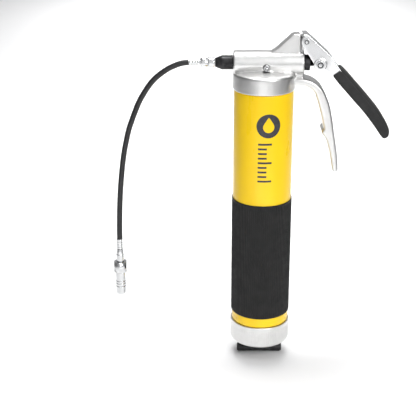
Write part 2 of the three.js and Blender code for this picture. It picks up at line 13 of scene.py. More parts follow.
import bmesh
import bpy
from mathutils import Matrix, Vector


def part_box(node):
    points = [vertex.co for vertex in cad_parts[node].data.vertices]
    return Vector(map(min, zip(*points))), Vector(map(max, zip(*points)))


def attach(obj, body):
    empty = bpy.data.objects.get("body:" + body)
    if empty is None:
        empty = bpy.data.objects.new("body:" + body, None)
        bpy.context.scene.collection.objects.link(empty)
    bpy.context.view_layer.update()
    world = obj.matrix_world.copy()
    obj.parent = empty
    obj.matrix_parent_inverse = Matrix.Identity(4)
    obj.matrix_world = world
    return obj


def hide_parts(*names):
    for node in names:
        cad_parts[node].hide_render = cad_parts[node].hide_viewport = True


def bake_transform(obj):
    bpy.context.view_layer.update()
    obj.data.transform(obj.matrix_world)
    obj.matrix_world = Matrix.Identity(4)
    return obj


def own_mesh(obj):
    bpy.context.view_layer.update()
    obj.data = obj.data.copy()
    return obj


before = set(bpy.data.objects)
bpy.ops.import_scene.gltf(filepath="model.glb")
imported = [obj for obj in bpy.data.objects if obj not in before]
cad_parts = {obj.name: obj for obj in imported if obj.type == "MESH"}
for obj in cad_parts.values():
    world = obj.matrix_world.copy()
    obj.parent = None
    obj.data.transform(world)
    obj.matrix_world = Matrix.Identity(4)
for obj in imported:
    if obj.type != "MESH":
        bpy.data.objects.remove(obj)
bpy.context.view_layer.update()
MM = 0.001

# %% [markdown]
# ## The camera
#
# The gun is seen from in front and a little above, from about a metre away, so its upright lines
# stay nearly upright and its round top edges open into flat ovals. A long lens keeps them calm.

# %% Set up the camera
camera = bpy.data.objects.new("camera", bpy.data.cameras.new("camera"))
bpy.context.scene.collection.objects.link(camera)
camera.location = (-0.05294, -0.99294, 0.53185)
camera.rotation_euler = (math.radians(68.5), 0, 0)
camera.data.sensor_width = 36
camera.data.lens = 93.46
bpy.context.scene.camera = camera
print("camera", [round(v, 3) for v in camera.location], "lens", camera.data.lens)

# %% [markdown]
# ## The hose
#
# The hose is a thermoplastic tube 5.4 mm thick and about 0.21 m long. It leaves its ferrule level,
# bends over under the weight of the coupler, and hangs almost straight. A Bezier curve through
# points along that line stays smooth at every point, and its bevel gives the tube its thickness.

# %% Lay the hose
HOSE_LINE = [
    (-71.1, 287.6), (-74.5, 287.3), (-79, 286.4), (-84, 284.6), (-89, 282.3), (-94, 279.2),
    (-99, 275.5), (-104, 271), (-109, 264.9), (-114, 257.3), (-118.6, 249), (-122.4, 239.9),
    (-125.6, 231.4), (-128.6, 223), (-131.2, 212.8), (-133.5, 201.8), (-135.4, 190.6), (-137, 178),
    (-138.5, 164), (-139.6, 150), (-140.4, 136), (-140.9, 122), (-141.1, 114), (-141.2, 108.2),
]
HOSE_WIDTH = 5.4


def round_bar(name, points, width, between=8, smooth_ring=6):
    """A round bar along points in millimetres, with between steps from one to the next."""
    data = bpy.data.curves.new(name, "CURVE")
    data.dimensions = "3D"
    line = data.splines.new("BEZIER")
    line.bezier_points.add(len(points) - 1)
    for knot, point in zip(line.bezier_points, points):
        knot.co = Vector(point) * MM
        knot.handle_left_type = knot.handle_right_type = "AUTO"
    data.resolution_u = between
    data.bevel_depth = width / 2 * MM
    data.bevel_resolution = smooth_ring
    data.use_fill_caps = True
    bar = bpy.data.objects.new(name, data)
    bpy.context.scene.collection.objects.link(bar)
    return bar


hose = round_bar("hose_line", [(x, 0, z) for x, z in HOSE_LINE], HOSE_WIDTH)

# %% [markdown]
# ## Finishes
#
# No real surface is one flat value. Paint has orange peel, plating has faint smears, rubber has a
# dry bloom. Every finish here starts from Blender's Principled shader, and then noise in the
# object's own coordinates moves its colour, its roughness and its bumps a little. The noise is laid
# out in metres, so a scale of 1000 gives features about a millimetre across.

# %% Tools for a finish
def new_finish(name, metal):
    material = bpy.data.materials.new(name)
    material.use_nodes = True
    tree = material.node_tree
    shader = tree.nodes["Principled BSDF"]
    shader.inputs["Metallic"].default_value = metal
    return material, tree, shader


def noise(tree, size, stretch=(1, 1, 1), detail=4.0):
    """Noise with features about size millimetres across, pulled out along an axis by stretch."""
    place = tree.nodes.new("ShaderNodeTexCoord")
    scale = tree.nodes.new("ShaderNodeMapping")
    scale.inputs["Scale"].default_value = [1000 / size / s for s in stretch]
    cloud = tree.nodes.new("ShaderNodeTexNoise")
    cloud.inputs["Scale"].default_value = 1.0
    cloud.inputs["Detail"].default_value = detail
    tree.links.new(place.outputs["Object"], scale.inputs["Vector"])
    tree.links.new(scale.outputs["Vector"], cloud.inputs["Vector"])
    return cloud.outputs["Fac"]


def tint(tree, shader, dark, light, size, stretch=(1, 1, 1)):
    """Lets the colour wander between two shades."""
    ramp = tree.nodes.new("ShaderNodeValToRGB")
    ramp.color_ramp.elements[0].position = 0.3
    ramp.color_ramp.elements[0].color = (*dark, 1)
    ramp.color_ramp.elements[1].position = 0.7
    ramp.color_ramp.elements[1].color = (*light, 1)
    tree.links.new(noise(tree, size, stretch), ramp.inputs["Fac"])
    tree.links.new(ramp.outputs["Color"], shader.inputs["Base Color"])


def smear(tree, shader, smooth, rough, size, stretch=(1, 1, 1)):
    """Lets the roughness wander between two values."""
    spread = tree.nodes.new("ShaderNodeMapRange")
    spread.inputs["From Min"].default_value = 0.3
    spread.inputs["From Max"].default_value = 0.7
    spread.inputs["To Min"].default_value = smooth
    spread.inputs["To Max"].default_value = rough
    tree.links.new(noise(tree, size, stretch), spread.inputs["Value"])
    tree.links.new(spread.outputs["Result"], shader.inputs["Roughness"])


def grain(tree, shader, depth, size, stretch=(1, 1, 1), strength=0.5):
    """Fine bumps, depth and size in millimetres."""
    bump = tree.nodes.new("ShaderNodeBump")
    bump.inputs["Strength"].default_value = strength
    bump.inputs["Distance"].default_value = depth * MM
    tree.links.new(noise(tree, size, stretch, 2.0), bump.inputs["Height"])
    tree.links.new(bump.outputs["Normal"], shader.inputs["Normal"])


print("finish tools ready")

# %% The painted and printed finishes
def yellow_enamel():
    """Stoved gloss enamel: a deep yellow under a clear, slightly rippled skin."""
    material, tree, shader = new_finish("yellow_enamel", 0.0)
    tint(tree, shader, (0.93, 0.60, 0.003), (0.98, 0.65, 0.006), 30, (1, 1, 6))
    smear(tree, shader, 0.26, 0.36, 18, (1, 1, 4))
    grain(tree, shader, 0.02, 1.6, strength=0.35)
    shader.inputs["Specular IOR Level"].default_value = 0.3
    shader.inputs["Coat Weight"].default_value = 0.3
    shader.inputs["Coat Roughness"].default_value = 0.09
    return material


def printed_ink():
    """Screen-printed charcoal, a little drier than the enamel under it."""
    material, tree, shader = new_finish("charcoal_ink", 0.0)
    tint(tree, shader, (0.022, 0.023, 0.030), (0.040, 0.041, 0.050), 3)
    smear(tree, shader, 0.36, 0.52, 2.5)
    grain(tree, shader, 0.01, 0.4)
    return material


enamel, ink = yellow_enamel(), printed_ink()
print("made", enamel.name, "and", ink.name)

# %% The metal finishes
def cast_aluminium():
    """A polished die casting: bright, with soft cloudy patches and a very fine grain."""
    material, tree, shader = new_finish("cast_aluminium", 1.0)
    tint(tree, shader, (0.70, 0.698, 0.69), (0.77, 0.768, 0.76), 9)
    smear(tree, shader, 0.30, 0.38, 5)
    grain(tree, shader, 0.03, 0.7, strength=0.3)
    return material


def bright_plate():
    """Zinc plate on pressed steel: the rolled grain of the sheet still shows through."""
    material, tree, shader = new_finish("bright_plate", 1.0)
    tint(tree, shader, (0.84, 0.845, 0.85), (0.91, 0.915, 0.92), 12, (3, 1, 1))
    smear(tree, shader, 0.18, 0.24, 6, (5, 1, 1))
    grain(tree, shader, 0.012, 0.5, (8, 1, 1), strength=0.3)
    return material


def chrome_plate():
    """Nickel-chrome on turned steel, with the faintest turning marks and thumb smears."""
    material, tree, shader = new_finish("chrome_plate", 1.0)
    tint(tree, shader, (0.66, 0.67, 0.68), (0.78, 0.785, 0.79), 5)
    smear(tree, shader, 0.12, 0.22, 3)
    grain(tree, shader, 0.006, 0.35, strength=0.25)
    return material


def oiled_steel():
    """Plain steel with a film of oil, for pins, balls and springs."""
    material, tree, shader = new_finish("oiled_steel", 1.0)
    tint(tree, shader, (0.42, 0.42, 0.43), (0.62, 0.625, 0.63), 2.5)
    smear(tree, shader, 0.20, 0.38, 1.5)
    grain(tree, shader, 0.008, 0.3, strength=0.3)
    return material


def black_oxide():
    """Blackened steel: dark and slightly mottled, greyer where hands have rubbed it."""
    material, tree, shader = new_finish("black_oxide", 0.65)
    tint(tree, shader, (0.012, 0.012, 0.013), (0.045, 0.045, 0.047), 4)
    smear(tree, shader, 0.30, 0.48, 2.5)
    grain(tree, shader, 0.012, 0.4, strength=0.4)
    return material


def turned_brass():
    """Bright turned brass with a trace of tarnish."""
    material, tree, shader = new_finish("turned_brass", 1.0)
    tint(tree, shader, (0.52, 0.36, 0.13), (0.80, 0.60, 0.27), 4)
    smear(tree, shader, 0.18, 0.34, 2)
    grain(tree, shader, 0.008, 0.3, strength=0.3)
    return material


cast, plate, chrome = cast_aluminium(), bright_plate(), chrome_plate()
steel, blackened, brass = oiled_steel(), black_oxide(), turned_brass()
print("metal finishes:", [m.name for m in (cast, plate, chrome, steel, blackened, brass)])

# %% The rubber and vinyl finishes
def hose_jacket():
    """The hose's smooth black jacket, with a soft sheen."""
    material, tree, shader = new_finish("hose_jacket", 0.0)
    tint(tree, shader, (0.008, 0.008, 0.009), (0.018, 0.018, 0.019), 6)
    smear(tree, shader, 0.30, 0.44, 4)
    grain(tree, shader, 0.02, 0.6, strength=0.5)
    return material


def sleeve_rubber():
    """Matt moulded rubber with a dry, dusty bloom on it."""
    material, tree, shader = new_finish("sleeve_rubber", 0.0)
    tint(tree, shader, (0.008, 0.008, 0.008), (0.013, 0.013, 0.013), 14)
    smear(tree, shader, 0.48, 0.66, 6)
    grain(tree, shader, 0.03, 0.35, strength=0.6)
    shader.inputs["Specular IOR Level"].default_value = 0.28
    return material


def grip_vinyl():
    """Dipped vinyl: dark grey, softly shiny, with a fine leathery pebble."""
    material, tree, shader = new_finish("grip_vinyl", 0.0)
    tint(tree, shader, (0.030, 0.030, 0.030), (0.042, 0.042, 0.042), 8)
    smear(tree, shader, 0.38, 0.48, 5)
    grain(tree, shader, 0.04, 0.5, strength=0.6)
    shader.inputs["Specular IOR Level"].default_value = 0.08
    return material


jacket, ribbed, vinyl = hose_jacket(), sleeve_rubber(), grip_vinyl()
print("soft finishes:", [m.name for m in (jacket, ribbed, vinyl)])

# %% [markdown]
# ## The lathe
#
# Turned pieces are made as on a lathe: half of the outline is drawn as radius and height, and swept
# round the axis. Real tools leave no knife edges, so a corner can carry a third number, the length
# of its rounding. A relief function can then push the skin in and out, for knurls and ribs.

# %% The lathe
AXES = {
    "z": lambda a, b, h: (a, b, h),
    "x": lambda a, b, h: (h, a, b),
    "-x": lambda a, b, h: (-h, a, b),
    "y": lambda a, b, h: (a, h, b),
    "-y": lambda a, b, h: (a, -h, b),
}


def eased(outline, loop):
    """Replaces each corner that carries a rounding with a short curve."""
    most = 0.48  # the largest share of a side that one rounding may use
    line = []
    for i, corner in enumerate(outline):
        here = Vector(corner[:2])
        if len(corner) < 3 or (not loop and i in (0, len(outline) - 1)):
            line.append(here)
            continue
        back = Vector(outline[i - 1][:2]) - here
        on = Vector(outline[(i + 1) % len(outline)][:2]) - here
        start = here + back.normalized() * min(corner[2], back.length * most)
        end = here + on.normalized() * min(corner[2], on.length * most)
        for t in (0, 0.25, 0.5, 0.75, 1):
            line.append(start * (1 - t) ** 2 + here * 2 * t * (1 - t) + end * t * t)
    return line


def new_piece(name, bm, sharp=38):
    """Turns a built mesh into an object with smooth faces and crisp real edges."""
    bmesh.ops.recalc_face_normals(bm, faces=bm.faces)
    mesh = bpy.data.meshes.new(name)
    bm.to_mesh(mesh)
    bm.free()
    mesh.shade_smooth()
    mesh.set_sharp_from_angle(angle=math.radians(sharp))
    piece = bpy.data.objects.new(name, mesh)
    bpy.context.scene.collection.objects.link(piece)
    return piece


def turned(name, outline, sides=96, along="z", centre=(0, 0, 0), relief=None, start=0.0):
    """A turned piece. An outline that starts on the axis ends on it; any other is a closed ring."""
    loop = outline[0][0] > 0
    bm = bmesh.new()
    rings = []
    for radius, height in eased(outline, loop):
        ring = []
        for k in range(sides if radius > 1e-6 else 1):
            angle = start + 2 * math.pi * k / sides
            reach = radius + (relief(angle, radius, height) if relief else 0)
            spot = AXES[along](reach * math.cos(angle), reach * math.sin(angle), height)
            ring.append(bm.verts.new((Vector(spot) + Vector(centre)) * MM))
        rings.append(ring)
    for low, high in zip(rings, rings[1:] + (rings[:1] if loop else [])):
        for k in range(sides):
            corners = [low[k % len(low)], low[(k + 1) % len(low)],
                       high[(k + 1) % len(high)], high[k % len(high)]]
            corners = list(dict.fromkeys(corners))
            if len(corners) > 2:
                bm.faces.new(corners)
    return new_piece(name, bm)


def fitted(piece, body, finish, slot, *nodes):
    """Gives a piece its finish, lets it ride on its body and stand for its CAD nodes."""
    piece.data.materials.clear()
    piece.data.materials.append(finish)
    if body:
        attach(piece, body)
    if nodes:
        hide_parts(*nodes)
    return piece


fitted(hose, "gun", jacket, "hose_rubber", "hose")
print("lathe ready; hose fitted")

# %% [markdown]
# ## The barrel
#
# The barrel is a drawn steel tube, 57 mm across, necked in at both ends for its rolled threads. Its
# enamel is glossy, so its outline has to be truly round: 192 sides show no flats in the highlight.

# %% Turn the barrel
BARREL_R = 28.5
BARREL_SIDES = 192
barrel = turned("barrel_tube", [
    (25.4, 6.3), (26.6, 6.3, 0.3), (26.6, 22.3), (28.5, 22.5, 1.0), (28.5, 262.2, 1.0), (26.6, 262.4),
    (26.6, 271.8, 0.3), (25.4, 271.8), (25.4, 260.4), (27.3, 258.4), (27.3, 26.3), (25.4, 24.3),
], sides=BARREL_SIDES)
fitted(barrel, "gun", enamel, "yellow_paint", "barrel")
print("barrel sides:", BARREL_SIDES, "height:", round(barrel.dimensions.z / MM, 1), "mm")

# %% [markdown]
# ## The printed marks
#
# A drop in a disc shows what the gun is for, and a row of bars below it reads as a fill scale. Both
# are plain signs with no letters. Ink lies on a round surface, so each mark is a thin patch whose
# points are wrapped round the barrel: a distance across becomes an angle.

# %% Wrap a patch round the barrel
INK_UNDER, INK_OVER = -0.05, 0.05


def on_barrel(across, up, lift):
    """The point a distance across and up the barrel's front, lifted off its skin."""
    angle = across / BARREL_R - math.pi / 2
    reach = BARREL_R + lift
    return (reach * math.cos(angle) * MM, reach * math.sin(angle) * MM, up * MM)


def ink_patch(bm, rows, ring=False):
    """A thin closed patch from rows of (across, up) points; ring joins each row's two ends."""
    under = [[bm.verts.new(on_barrel(*p, INK_UNDER)) for p in row] for row in rows]
    over = [[bm.verts.new(on_barrel(*p, INK_OVER)) for p in row] for row in rows]
    count = len(rows[0])
    steps = range(count if ring else count - 1)
    for skin in (under, over):
        for low, high in zip(skin, skin[1:]):
            for k in steps:
                bm.faces.new([low[k], low[(k + 1) % count], high[(k + 1) % count], high[k]])
    for i in (0, -1):
        for k in steps:
            n = (k + 1) % count
            bm.faces.new([under[i][k], under[i][n], over[i][n], over[i][k]])
    if not ring:
        for k in (0, -1):
            for i in range(len(rows) - 1):
                bm.faces.new([under[i][k], under[i + 1][k], over[i + 1][k], over[i][k]])


print("ink lies", INK_OVER, "mm proud of the enamel")

# %% Print the drop and the scale
MARK_X, MARK_Z = 3.8, 233.5
DISC_R, DROP_R, DISC_SIDES = 11.6, 5.4, 72
BARS, BAR_STEP, BAR_TALL = 9, 4.6, 1.9
LONG_BAR, SHORT_BAR = 13.2, 8.4
SCALE_X, SCALE_TOP = 0.6, 216.6


def drop_edge(angle, size):
    """A drop's outline: round below, drawn to a point above."""
    point = max(0.0, math.sin(angle)) ** 3
    across = size * math.cos(angle) * (1 - 0.55 * point)
    return across, size * (math.sin(angle) + 0.75 * point) - size * 0.2


def print_drop():
    """A disc with a drop left open in its middle."""
    bm = bmesh.new()
    rows = []
    for blend in (0, 0.2, 0.4, 0.6, 0.8, 1):
        row = []
        for k in range(DISC_SIDES):
            angle = 2 * math.pi * k / DISC_SIDES
            inner_x, inner_z = drop_edge(angle, DROP_R)
            outer_x, outer_z = DISC_R * math.cos(angle), DISC_R * math.sin(angle)
            row.append((MARK_X + outer_x + (inner_x - outer_x) * blend,
                        MARK_Z + outer_z + (inner_z - outer_z) * blend))
        rows.append(row)
    ink_patch(bm, rows, ring=True)
    return new_piece("drop_mark", bm)


def print_scale():
    """A row of bars, every fourth one long."""
    bm = bmesh.new()
    left = SCALE_X - LONG_BAR / 2
    for step in range(BARS):
        top = SCALE_TOP - step * BAR_STEP
        wide = LONG_BAR if step % 4 == 0 else SHORT_BAR
        across = [left + wide * k / 14 for k in range(15)]
        ink_patch(bm, [[(x, top - BAR_TALL) for x in across], [(x, top) for x in across]])
    return new_piece("scale_marks", bm)


drop = fitted(print_drop(), "gun", ink, "yellow_paint")
scale = fitted(print_scale(), "gun", ink, "yellow_paint")
print("marks:", drop.name, scale.name)

# %% [markdown]
# ## The rubber sleeve
#
# A moulded sleeve gives the hand a hold on the barrel. Its fine upright ribs are real geometry: the
# relief function draws the skin in between ribs 2 mm apart, and leaves a plain rim at each end.

# %% Turn the ribbed sleeve
SLEEVE_R, SLEEVE_BORE = 29.4, 28.56
SLEEVE_LOW, SLEEVE_HIGH = 32.3, 153.6
RIBS, RIB_DEPTH = 92, 0.42


def rib_relief(angle, radius, height):
    """Hollows between the ribs, fading out at the two plain rims."""
    if radius < SLEEVE_R - 0.3:
        return 0.0
    from_rim = min(height - SLEEVE_LOW, SLEEVE_HIGH - height)
    fade = min(1.0, max(0.0, (from_rim - 1.6) / 1.2))
    return -RIB_DEPTH * fade * (0.5 - 0.5 * math.cos(RIBS * angle)) ** 0.7


def sleeve_outline():
    side = [SLEEVE_LOW + 1.6, SLEEVE_LOW + 2.2, SLEEVE_LOW + 2.8, 70, 110,
            SLEEVE_HIGH - 2.8, SLEEVE_HIGH - 2.2, SLEEVE_HIGH - 1.6]
    return ([(SLEEVE_BORE, SLEEVE_LOW + 0.1), (SLEEVE_R, SLEEVE_LOW, 0.5)]
            + [(SLEEVE_R, h) for h in side]
            + [(SLEEVE_R, SLEEVE_HIGH, 0.5), (SLEEVE_BORE, SLEEVE_HIGH - 0.1)])


sleeve = turned("ribbed_sleeve", sleeve_outline(), sides=RIBS * 8, relief=rib_relief)
fitted(sleeve, "gun", ribbed, "sleeve_rubber", "barrel_sleeve")
print("ribs:", RIBS, "faces:", len(sleeve.data.polygons))

# %% [markdown]
# ## The head and its fixed handle
#
# The head is one casting: a skirt that screws onto the barrel, a cross tube for the plunger, a
# bracket that carries the lever, and the fixed handle for the palm. A founder's pattern has soft
# corners where its shapes meet. To get them, the shapes are cut and joined as crisp solids first;
# then a voxel remesh gives them one even skin, and a few smoothing passes round every edge.

# %% Cut slabs, join and carve solids
def curve_through(points, steps=6):
    """A smooth line through the points, for the flowing parts of an outline."""
    line = []
    spots = [points[0], *points, points[-1]]
    for a, b, c, d in zip(spots, spots[1:], spots[2:], spots[3:]):
        for k in range(steps):
            t = k / steps
            line.append(tuple(
                0.5 * (2 * q + (r - p) * t + (2 * p - 5 * q + 4 * r - s) * t * t
                       + (3 * q - p - 3 * r + s) * t ** 3)
                for p, q, r, s in zip(a, b, c, d)))
    return line + [points[-1]]


def slab(name, outline, width, ease=0.0):
    """A flat slab with an outline in X and Z, its rims rounded by ease."""
    bm = bmesh.new()
    sides = [[bm.verts.new((x * MM, y * MM, z * MM)) for x, z in outline]
             for y in (-width / 2, width / 2)]
    for side in sides:
        bm.faces.new(side)
    count = len(outline)
    for k in range(count):
        n = (k + 1) % count
        bm.faces.new([sides[0][k], sides[0][n], sides[1][n], sides[1][k]])
    bmesh.ops.recalc_face_normals(bm, faces=bm.faces)
    if ease:
        rims = [e for e in bm.edges if abs(e.verts[0].co.y - e.verts[1].co.y) < 1e-7]
        bmesh.ops.bevel(bm, geom=rims, offset=ease * MM, segments=4, profile=0.5,
                        affect="EDGES", clamp_overlap=True)
    return new_piece(name, bm)


def final_mesh(thing):
    """A plain mesh of the thing as it now looks, modifiers and bevels included."""
    bpy.context.view_layer.update()
    depsgraph = bpy.context.evaluated_depsgraph_get()
    return bpy.data.meshes.new_from_object(thing.evaluated_get(depsgraph))


def settle(piece):
    """Makes the piece's modifiers permanent."""
    shape = final_mesh(piece)
    piece.modifiers.clear()
    piece.data = shape


def carve(piece, operation, *tools):
    """Joins the tools to the piece, or cuts them away, one after another."""
    for tool in tools:
        knife = piece.modifiers.new("carve", "BOOLEAN")
        knife.operation = operation
        knife.solver = "MANIFOLD"
        knife.object = tool
        settle(piece)
        bpy.data.objects.remove(tool)
    return piece


def skinned(piece, grain_size, passes):
    """One even skin over the solid, softened at its edges, as a casting or a pressing has."""
    skin = piece.modifiers.new("skin", "REMESH")
    skin.mode = "VOXEL"
    skin.voxel_size = grain_size * MM
    soft = piece.modifiers.new("soft", "SMOOTH")
    soft.factor = 0.5
    soft.iterations = passes
    settle(piece)
    piece.data.shade_smooth()
    return piece


def pin(radius, low, high, along="z", centre=(0, 0, 0)):
    """A plain round solid, to add or to bore with."""
    return turned("tool", [(0, low), (radius, low), (radius, high), (0, high)], 48, along, centre)


print("slab, carve and skin tools ready")

# %% Outlines of the casting
TUBE = (0, 0, 287.6)
BLEEDER = (1.6, 0, 284.7)
FULCRUM = (38.1, 0, 309.2)
CRANK = (51.6, 0, 287.6)

HANDLE = (
    [(27.6, 268.2)] + curve_through([(36.9, 268.0), (43.5, 264.9), (47.2, 261.0), (49.4, 255.4),
                                     (51.4, 249.2), (54.6, 237.4), (57.2, 226.0)])
    + [(55.6, 224.0), (55.1, 222.6), (55.6, 221.0)]
    + curve_through([(57.4, 218.4), (60.2, 213.7), (63.9, 200.6), (66.6, 184.4)])
    + [(67.6, 182.6), (69.4, 182.4), (71.4, 182.6), (72.4, 184.2)]
    + curve_through([(71.9, 190.0), (70.6, 201.0), (67.8, 217.6), (63.6, 241.2), (60.3, 252.6),
                     (55.2, 263.0), (50.0, 268.6), (44.0, 272.4), (37.0, 274.4)])
    + [(27.6, 274.5)]
)
BRACKET = [(0, 290), (0, 296.5), (3, 297.6), (6.4, 298.6), (10.4, 301.0), (25.4, 314.8),
           (27.4, 315.6), (32.0, 315.6), (33.3, 313.6), (33.3, 290)]
BRACKET_END = [(30, 299), (30, 312.6), (38.1, 312.8), (41, 306.8), (38, 302.4), (33.5, 297)]
print("handle outline points:", len(HANDLE))

# %% Make the casting
def make_head():
    """The skirt and its roof, joined to tube, bracket, lug and handle, then bored."""
    head = turned("head_casting_skin", [
        (0, 282.4), (12, 281.2), (20, 280.4), (26.6, 279.4), (29.55, 278.1, 1.4), (29.6, 262.7, 0.7),
        (26.9, 262.7), (26.9, 274), (0, 274),
    ], sides=160)
    tube = turned("tube", [(0, -29.2), (11.5, -29.2, 1.1), (11.5, 36.9, 1.1), (0, 36.9)],
                  96, "x", TUBE)
    lobe = pin(3.65, -4, 4, "y", FULCRUM)
    lug = slab("lug", [(24, 272), (24, 283), (36.6, 283), (36.6, 272)], 12, 0.6)
    bracket = slab("bracket", BRACKET, 12, 0.9)
    bracket_end = slab("bracket_end", BRACKET_END, 8, 0.4)
    handle = slab("handle", HANDLE, 24, 2.2)
    carve(head, "UNION", tube, bracket, bracket_end, lobe, lug, handle)
    carve(head, "DIFFERENCE", pin(5, -30, -12, "x", TUBE), pin(3.8, -13, 38, "x", TUBE),
          pin(6.4, 26, 38, "x", TUBE), pin(2, 273, 287.6, "z", (2.6, 0, 0)),
          pin(3.0, 6, 14, "-y", BLEEDER), pin(1.2, 0, 7, "-y", BLEEDER),
          pin(2.1, -10, 10, "y", FULCRUM))
    return skinned(head, grain_size=0.55, passes=4)


head = fitted(make_head(), "gun", cast, "cast_aluminium", "head_casting")
print("casting faces:", len(head.data.polygons))
print("casting, mm:", [round(v / MM, 1) for v in head.dimensions])

# %% [markdown]
# ## The bleeder
#
# A small fitting in the front of the cross tube lets trapped air out when its ball is pressed. It is
# turned steel with a rolled lip that holds the ball in, so the ball shows inside a dark ring.

# %% Turn the bleeder
bleeder = turned("bleeder_fitting", [
    (0.8, 6.4), (2.7, 6.4, 0.2), (2.7, 11.7), (3.1, 11.7, 0.15), (3.1, 13.0, 0.35), (2.75, 13.5, 0.25),
    (1.5, 13.5, 0.2), (1.5, 12.9), (2.1, 12.3), (2.1, 7.4), (0.8, 7.4),
], sides=64, along="-y", centre=BLEEDER)
fitted(bleeder, "gun", steel, "bright_steel", "bleeder_body")


def ball(name, radius, centre):
    steps = 28
    arc = [(radius * math.sin(math.pi * k / steps), -radius * math.cos(math.pi * k / steps))
           for k in range(steps + 1)]
    arc[0], arc[-1] = (0, -radius), (0, radius)
    return turned(name, arc, sides=2 * steps, centre=centre)


BLEEDER_BALL_R, CHECK_BALL_R = 1.7, 4.4
bleeder_ball = ball("bleeder_steel_ball", BLEEDER_BALL_R, (BLEEDER[0], -12.1, BLEEDER[2]))
fitted(bleeder_ball, "bleeder", chrome, "steel", "bleeder_ball")
ball_low, ball_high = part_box("check_ball")
seat_x = (ball_low.x + ball_high.x) / 2 / MM
check_ball = ball("check_steel_ball", CHECK_BALL_R, (seat_x, 0, TUBE[2]))
fitted(check_ball, "check", steel, "steel", "check_ball")
print("balls, mm across:", 2 * BLEEDER_BALL_R, "and", 2 * CHECK_BALL_R)

# %% [markdown]
# ## The plunger and its gland
#
# The plunger is a chromed rod that ends in a slotted eye for the lever's crank pin. A blackened nut
# squeezes the packing round it.

# %% Make the plunger and the gland nut
def make_plunger():
    """A rod with an eye on its end, and the slot through the eye."""
    rod = turned("plunger_rod", [(0, 5), (3.5, 5, 0.4), (3.5, 48.8), (0, 48.8)], 64, "x", TUBE)
    eye = slab("eye", [(48.3, 282.6), (49.6, 281.3), (54.5, 281.3), (55.8, 282.6), (55.8, 290.2),
                       (54.6, 291.4), (49.5, 291.4), (48.3, 290.2)], 8, 0.5)
    slot = slab("slot", [(49.25, 282.7), (49.25, 289.95), (53.95, 289.95), (53.95, 282.7)], 20)
    carve(rod, "UNION", eye)
    return carve(rod, "DIFFERENCE", slot)


fitted(make_plunger(), "plunger", chrome, "chrome", "plunger")
gland = turned("gland_nut_turned", [
    (3.75, 32.7), (6.1, 32.7), (6.1, 37.2), (7.55, 37.2, 0.4), (7.55, 42.7, 0.9), (4.6, 42.7, 0.3),
    (4.3, 42.2), (3.75, 42.2),
], sides=96, along="x", centre=TUBE)
fitted(gland, "gun", blackened, "black_oxide", "gland_nut")
print("plunger and gland made")

# %% [markdown]
# ## The lever
#
# The lever is pressed from 1.6 mm sheet: two cheeks that straddle the bracket, joined by a web along
# the outer edge, and a boss pressed out round the crank pin. Below the pins the channel widens into
# the grip. A solid of the outside is cut by a solid of the inside, which leaves sheet of nearly the
# same thickness all over, and the skin then rounds its bends.

# %% Press the lever
SHEET = 1.6
CHEEK, WIDE_CHEEK = 9.5, 11.2
BOSS_FACE = 10.3
LEVER_OUT = (
    [(34.8, 316.0), (38.8, 316.0), (41.2, 314.0), (58.4, 298.4)]
    + curve_through([(60.8, 296.0), (64.2, 292.0), (69.6, 284.2), (84.8, 267.0), (95.0, 255.2),
                     (105.0, 242.0), (116.4, 222.2)])
    + [(110.6, 222.6)]
    + curve_through([(104.6, 231.4), (96.2, 242.8), (82.0, 258.0), (68.5, 272.0), (62.4, 278.4)])
    + [(60.0, 279.9), (56.4, 281.0), (51.6, 281.2), (48.3, 282.0), (46.0, 284.6), (45.2, 289.0),
       (34.6, 305.4), (33.6, 308.4), (33.6, 310.8), (34.4, 312.6), (36.4, 313.9), (39.4, 313.9),
       (38.4, 314.5), (34.8, 314.5)]
)
LEVER_IN = (
    [(20, 314.5), (38.2, 314.5), (57.3, 297.2)]
    + curve_through([(59.6, 294.9), (63.0, 291.0), (68.4, 283.0), (83.6, 265.8), (93.6, 254.2),
                     (103.6, 241.0), (114.6, 221.6)])
    + [(113, 215), (60, 240), (20, 290)]
)


def widened(piece, half, wide_half):
    """Spreads the cheeks from half their width at the pins to half their width in the grip."""
    start, run, bends = 61, 9, 6
    bm = bmesh.new()
    bm.from_mesh(piece.data)
    for k in range(bends + 1):
        across = ((start + run * k / bends) * MM, 0, 0)
        everything = [*bm.verts, *bm.edges, *bm.faces]
        bmesh.ops.bisect_plane(bm, geom=everything, plane_co=across, plane_no=(1, 0, 0))
    for vert in bm.verts:
        t = min(1.0, max(0.0, (vert.co.x / MM - start) / run))
        vert.co.y *= 1 + (wide_half / half - 1) * t * t * (3 - 2 * t)
    bm.to_mesh(piece.data)
    bm.free()
    return piece


def make_lever():
    """The outside less the inside, with a boss on each cheek and the two pin holes."""
    lever = widened(slab("lever_pressing", LEVER_OUT, 2 * CHEEK, 1.3), CHEEK, WIDE_CHEEK)
    inside = slab("inside", LEVER_IN, 2 * (CHEEK - SHEET), 0.5)
    carve(lever, "DIFFERENCE", widened(inside, CHEEK - SHEET, WIDE_CHEEK - SHEET))
    boss = [(0, 8.6), (6.2, 8.6), (6.2, 9.6, 0.8), (5.4, BOSS_FACE, 0.5), (0, BOSS_FACE)]
    carve(lever, "UNION", *[turned("boss", boss, 64, side, CRANK) for side in ("y", "-y")])
    carve(lever, "DIFFERENCE", pin(2.1, -20, 20, "y", FULCRUM), pin(2.3, -20, 20, "y", CRANK))
    return skinned(lever, grain_size=0.36, passes=3)


lever = fitted(make_lever(), "lever", plate, "bright_steel", "lever")
print("lever faces:", len(lever.data.polygons))
print("lever, mm:", [round(v / MM, 1) for v in lever.dimensions])

# %% [markdown]
# ## Pins and clips
#
# Each pin has a turned head with a narrow ring cut in it, and the ring is painted black as painted
# shade, so it reads as a small bright target with a dark ring. A clip holds it at the back.

# %% Turn the pins
PLAY = 0.3
RING_IN, RING_OUT, RING_DEEP = 0.48, 0.70, 0.9


